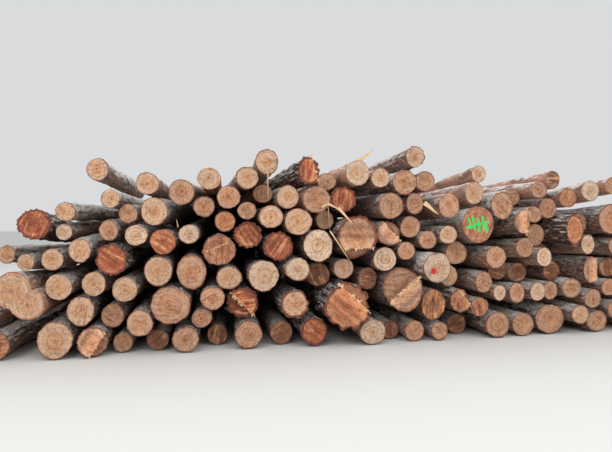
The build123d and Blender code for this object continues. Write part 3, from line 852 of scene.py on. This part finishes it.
def dress_node(node, settings, gridded=False, painted=False):
    """One node's logs, shaped, graded and given their bark and end grain."""
    materials = [shared_material("pine_bark", bark_material, settings)]
    if painted:
        materials.append(sawn_material(settings, painted=True))
    else:
        materials.append(shared_material("sawn_pine", sawn_material, settings))
    looks = LOOKS[node].split()
    hinge = hinge_edge(node) if node in FELLED_BUTTS else None
    logs = split_logs(copy_node(node))
    if len(logs) != len(looks):
        raise RuntimeError(f"{node} has {len(logs)} logs and {len(looks)} looks")
    for number, (log, look) in enumerate(zip(logs, looks)):
        end, bark = look.split("/")
        for material in materials:
            log.data.materials.append(material)
        ring_log(log, BARKS[bark][2] > THICK, gridded)
        chance = random.Random(f"{node} {number}")
        grade_log(log, end, bark, chance, node == "forked_log", hinge)
    select_only(*logs)
    if len(logs) > 1:
        bpy.ops.object.join()
    piece = bpy.context.active_object
    piece.name = piece.data.name = node + "_dressed"
    for setting, (group, pattern, size, contrast) in RELIEFS.items():
        press_in(piece, group, pattern, size, contrast, getattr(settings, setting))
    corners = np.array([v.co for v in NODES[node].data.vertices])
    keep_within(piece.data, corners.min(0), corners.max(0))
    bpy.ops.object.shade_smooth_by_angle(angle=LOG_ANGLE)
    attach(piece, "root")
    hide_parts(node)


def hinge_edge(node):
    """The two ends of a felling cut's hinge on the sawn face, and which way its step faces."""
    piece = copy_node(node)
    points = [v.co.copy() for v in piece.data.vertices]
    walls = [
        face
        for face in piece.data.polygons
        if abs(face.normal.y) < ACROSS and max(points[v].y for v in face.vertices) < FRONT_ENDS
    ]
    wall = max(walls, key=lambda face: face.area)
    corners = sorted((points[v] for v in wall.vertices), key=lambda corner: corner.y)
    facing = wall.normal.copy()
    bpy.data.objects.remove(piece)
    return corners[0], corners[1], facing


def make_splinter():
    """One torn fibre a metre long, which is copied and drawn out to its place."""
    bpy.ops.object.select_all(action="DESELECT")
    bpy.ops.mesh.primitive_cone_add(
        vertices=5, radius1=0.5, radius2=0.06, depth=1.0, location=(0, 0, 0.5)
    )
    splinter = bpy.context.active_object
    bpy.ops.object.transform_apply(location=True, rotation=True, scale=True)
    bpy.ops.object.mode_set(mode="EDIT")
    for height, push in FIBRE_BENDS:
        bpy.ops.mesh.select_all(action="SELECT")
        bpy.ops.mesh.bisect(plane_co=(0, 0, height), plane_no=(0, 0, 1))
        bpy.ops.transform.translate(value=(push, push * 0.5, 0))
    bpy.ops.object.mode_set(mode="OBJECT")
    return splinter


def lay_splinter(template, start, end, width, thickness):
    """A copy of the torn fibre from one point to another."""
    copy = template.copy()
    copy.data = template.data.copy()
    bpy.context.scene.collection.objects.link(copy)
    along = Vector(end) - Vector(start)
    turn = along.to_track_quat("Z", "Y").to_matrix().to_4x4()
    size = Matrix.Diagonal((thickness, width, along.length, 1.0))
    copy.data.transform(Matrix.Translation(start) @ turn @ size)
    return copy


def tear_hinge(template, edge, phase, chance):
    """The tufts of torn fibres along a hinge."""
    one, other, facing = edge
    hinge = other - one
    fibres = []
    for number in range(int(hinge.length / FIBRE_STEP)):
        start = one.lerp(other, (number + chance.random()) * FIBRE_STEP / hinge.length)
        start += Vector((0, FIBRE_ROOT, 0)) - facing * FIBRE_ROOT
        swell = 0.55 + 0.45 * math.sin(number * 0.31 + phase) * math.sin(number * 0.13)
        start -= facing * chance.uniform(0.0, FIBRE_SPREAD)
        length = chance.uniform(*FIBRE_LENGTHS) * chance.uniform(0.3, 1.0) * swell * hinge.length
        end = start + facing * length + hinge.normalized() * length * chance.uniform(-0.8, 0.8)
        end.y += chance.uniform(0.0, 0.006)
        width = chance.uniform(*FIBRE_WIDTHS)
        fibres.append(lay_splinter(template, start, end, width, FIBRE_THICKNESS))
    return fibres


def fibre_material():
    """Freshly torn wood: long pale fibres."""
    shader = Shader("torn_fibre")
    place = shader.place()
    fibres = shader.noise(shader.scaled(place, 1.0, 1.0, 0.2), 420.0, 3.0, 0.6)
    colour = shader.mix(shader.ramp(fibres, 0.35, 0.65), srgb(206, 156, 104), srgb(244, 216, 172))
    return shader.finish(Base_Color=colour, Roughness=0.7, Normal=shader.bump(fibres, 0.001))


def join_loose(name, parts, material, angle):
    """Joins torn parts into one new piece of the pile."""
    select_only(*parts)
    bpy.ops.object.join()
    piece = bpy.context.active_object
    piece.name = piece.data.name = name
    piece.data.materials.append(material)
    keep_within(piece.data, *CAD_BOX)
    bpy.ops.object.shade_smooth_by_angle(angle=angle)
    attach(piece, "root")


def lay_shade_sheet(middle, width, height, turn, chance):
    """A curved, ragged sheet shaped as torn bark that faces the front of the pile: painted shade in
    a gap between the logs.
    """
    bpy.ops.object.select_all(action="DESELECT")
    bpy.ops.mesh.primitive_grid_add(x_subdivisions=12, y_subdivisions=10, size=1.0)
    sheet = bpy.context.active_object
    for point in sheet.data.vertices:
        x, y, _ = point.co
        ragged = 1.0 + 0.12 * math.sin(9 * x + 5 * y + turn) * (abs(x) + abs(y))
        curl = -x * x * width * 0.5 + chance.uniform(0, 0.004)
        point.co = (x * width * ragged, y * height * ragged, curl)
    lean = Matrix.Rotation(math.radians(90 + chance.uniform(-12, 12)), 4, "X")
    turned = lean @ Matrix.Rotation(math.radians(turn), 4, "Z")
    sheet.data.transform(Matrix.Translation(middle) @ turned)
    thicken = sheet.modifiers.new("thicken", "SOLIDIFY")
    thicken.thickness = SHEET_THICKNESS
    bpy.ops.object.modifier_apply(modifier=thicken.name)
    count = len(sheet.data.vertices)
    add_attribute(sheet.data, "bark", np.tile((0.9, 0.0, 0.0), (count, 1)))
    # The sheet's dark colour is painted shade
    colours = np.tile((*srgb(*BARK_SHADE_SHEETS_COLOUR), 1.0), (count, 1))
    for name in ("bark_colour", "rim_colour"):
        add_attribute(sheet.data, name, colours)
    return sheet


class LogPileSettings(bpy.types.PropertyGroup):
    """The sizes and colours of the pile's finish."""

    ring_width: FloatProperty(
        name="Ring width", description="Width of two yearly rings",
        default=0.007, min=0.001, unit="LENGTH",
    )
    lumps: FloatProperty(
        name="Lumps", description="Depth of the swellings along a stem",
        default=0.016, min=0, unit="LENGTH",
    )
    bark_relief: FloatProperty(
        name="Bark relief", description="Depth of the furrows in thick bark",
        default=0.01, min=0, unit="LENGTH",
    )
    saw_relief: FloatProperty(
        name="Saw relief", description="Unevenness of the sawn ends",
        default=0.004, min=0, unit="LENGTH",
    )
    lichen: FloatProperty(
        name="Lichen", description="How much lichen grows on the bark",
        default=1.0, min=0, max=2, subtype="FACTOR",
    )
    paint_colour: FloatVectorProperty(
        name="Paint", description="Sprayed mark on one end",
        default=srgb(20, 222, 96), size=3, subtype="COLOR",
    )
    tag_colour: FloatVectorProperty(
        name="Tag", description="Plastic of the nailed tag",
        default=srgb(206, 22, 24), size=3, subtype="COLOR",
    )
    floor_colour: FloatVectorProperty(
        name="Floor", description="Pale studio floor",
        default=(0.72, 0.72, 0.7), size=3, subtype="COLOR",
    )
    light: FloatProperty(
        name="Light", description="Strength of the sky light",
        default=0.72, min=0,
    )


class PileOperator:
    """What the operators share."""

    bl_options = {"REGISTER", "UNDO"}

    def dress(self, context, nodes, **choices):
        for node in nodes:
            dress_node(node, context.scene.log_pile, **choices)
        return {"FINISHED"}


class LOGPILE_OT_stacked_logs(PileOperator, bpy.types.Operator):
    """Dresses the plain logs of every bay of the pile"""

    bl_idname = "logpile.stacked_logs"
    bl_label = "Stacked Logs"

    def execute(self, context):
        return self.dress(context, STACKED_LOGS)


class LOGPILE_OT_felled_butts(PileOperator, bpy.types.Operator):
    """Dresses the butts that still show their felling cuts"""

    bl_idname = "logpile.felled_butts"
    bl_label = "Felled Butts"

    def execute(self, context):
        return self.dress(context, FELLED_BUTTS, gridded=True)


class LOGPILE_OT_forked_log(PileOperator, bpy.types.Operator):
    """Dresses the log that forks into two stems"""

    bl_idname = "logpile.forked_log"
    bl_label = "Forked Log"

    def execute(self, context):
        return self.dress(context, ["forked_log"], gridded=True)


class LOGPILE_OT_furrowed_butt(PileOperator, bpy.types.Operator):
    """Dresses the tall butt with the deepest bark"""

    bl_idname = "logpile.furrowed_butt"
    bl_label = "Furrowed Butt"

    def execute(self, context):
        return self.dress(context, ["furrowed_butt"])


class LOGPILE_OT_torn_fibres(PileOperator, bpy.types.Operator):
    """Adds the torn fibres along the hinges and the slivers that hang from some ends"""

    bl_idname = "logpile.torn_fibres"
    bl_label = "Torn Fibres"

    def execute(self, context):
        template = make_splinter()
        material = shared_material("torn_fibre", fibre_material)
        chance = random.Random("torn fibres")
        edges = {node + "_fibres": hinge_edge(node) for node in FELLED_BUTTS}
        edges["ridge_fibres"] = [Vector(part) for part in RIDGE]
        for name, edge in edges.items():
            join_loose(name, tear_hinge(template, edge, len(name), chance), material, FIBRE_ANGLE)
        for name, runs in HANGING_SLIVERS.items():
            slivers = [lay_splinter(template, *ends, width, width * 0.4) for *ends, width in runs]
            join_loose(name, slivers, material, FIBRE_ANGLE)
        bpy.data.objects.remove(template)
        return {"FINISHED"}


class LOGPILE_OT_bark_shade_sheets(PileOperator, bpy.types.Operator):
    """Lays dark sheets shaped as torn bark deep in the gaps between the logs, as painted shade"""

    bl_idname = "logpile.loose_bark"
    bl_label = "Loose Bark"

    def execute(self, context):
        chance = random.Random("loose bark")
        sheets = [lay_shade_sheet(Vector(row[:3]), *row[3:], chance) for row in BARK_SHADE_SHEETS]
        material = shared_material("pine_bark", bark_material, context.scene.log_pile)
        join_loose("loose_bark", sheets, material, SHEET_ANGLE)
        return {"FINISHED"}


class LOGPILE_OT_marked_logs(PileOperator, bpy.types.Operator):
    """Dresses the log with a sprayed mark, the tagged log and its tag"""

    bl_idname = "logpile.marked_logs"
    bl_label = "Marked Logs"

    def execute(self, context):
        dress_node("painted_log", context.scene.log_pile, painted=True)
        dress_node("tagged_log", context.scene.log_pile)
        tag = NODES["log_tag"]
        tag.data.materials.clear()
        tag.data.materials.append(tag_material(context.scene.log_pile))
        return {"FINISHED"}


class LOGPILE_OT_stage(PileOperator, bpy.types.Operator):
    """Lays the floor and sets up the light and the camera"""

    bl_idname = "logpile.stage"
    bl_label = "Stage"

    def execute(self, context):
        settings = context.scene.log_pile
        bpy.ops.object.select_all(action="DESELECT")
        bpy.ops.mesh.primitive_plane_add(size=FLOOR_SIZE, location=(0, 0, -FLOOR_DROP))
        floor = context.active_object
        floor.name = "studio_floor"
        floor.data.materials.append(floor_material(settings))
        light_scene(context.scene, settings)
        place_camera(context.scene)
        return {"FINISHED"}


def light_scene(scene, settings):
    """A pale sky all round and broad soft lamps from the front, the rear and above."""
    world = bpy.data.worlds.new("soft_sky")
    world.use_nodes = True
    scene.world = world
    background = world.node_tree.nodes["Background"]
    background.inputs["Color"].default_value = SKY
    background.inputs["Strength"].default_value = settings.light
    for name, (place, turn, size, power) in LAMPS.items():
        lamp = bpy.data.lights.new(name, "AREA")
        lamp.size = size
        lamp.energy = power
        holder = bpy.data.objects.new(name, lamp)
        holder.location = place
        holder.rotation_euler = [math.radians(angle) for angle in turn]
        scene.collection.objects.link(holder)


def place_camera(scene):
    """Stands low before the pile's left half and looks a little to the right."""
    lens = bpy.data.cameras.new("camera")
    lens.lens = FOCAL_LENGTH
    lens.shift_y = SHIFT_UP
    camera = bpy.data.objects.new("camera", lens)
    camera.location = CAMERA_PLACE
    camera.rotation_euler = (math.radians(90), 0, CAMERA_TURN)
    scene.collection.objects.link(camera)
    scene.camera = camera
    scene.view_settings.view_transform = "Standard"


class LOGPILE_PT_panel(bpy.types.Panel):
    """Lists the pile's pieces and its settings"""

    bl_label = "Log Pile"
    bl_idname = "LOGPILE_PT_panel"
    bl_space_type = "VIEW_3D"
    bl_region_type = "UI"
    bl_category = "Log Pile"

    def draw(self, context):
        for operator in OPERATORS:
            self.layout.operator(operator.bl_idname)
        for name in LogPileSettings.__annotations__:
            self.layout.prop(context.scene.log_pile, name)


OPERATORS = (
    LOGPILE_OT_stacked_logs,
    LOGPILE_OT_felled_butts,
    LOGPILE_OT_forked_log,
    LOGPILE_OT_furrowed_butt,
    LOGPILE_OT_torn_fibres,
    LOGPILE_OT_bark_shade_sheets,
    LOGPILE_OT_marked_logs,
    LOGPILE_OT_stage,
)
CLASSES = (LogPileSettings, *OPERATORS, LOGPILE_PT_panel)


def register():
    for kind in CLASSES:
        bpy.utils.register_class(kind)
    bpy.types.Scene.log_pile = PointerProperty(type=LogPileSettings)


def unregister():
    del bpy.types.Scene.log_pile
    for kind in reversed(CLASSES):
        bpy.utils.unregister_class(kind)


def main():
    register()
    bpy.ops.logpile.stacked_logs()
    bpy.ops.logpile.felled_butts()
    bpy.ops.logpile.forked_log()
    bpy.ops.logpile.furrowed_butt()
    bpy.ops.logpile.torn_fibres()
    bpy.ops.logpile.loose_bark()
    bpy.ops.logpile.marked_logs()
    bpy.ops.logpile.stage()
    bpy.data.objects.remove(stretch_guide())


if __name__ == "__main__":
    main()
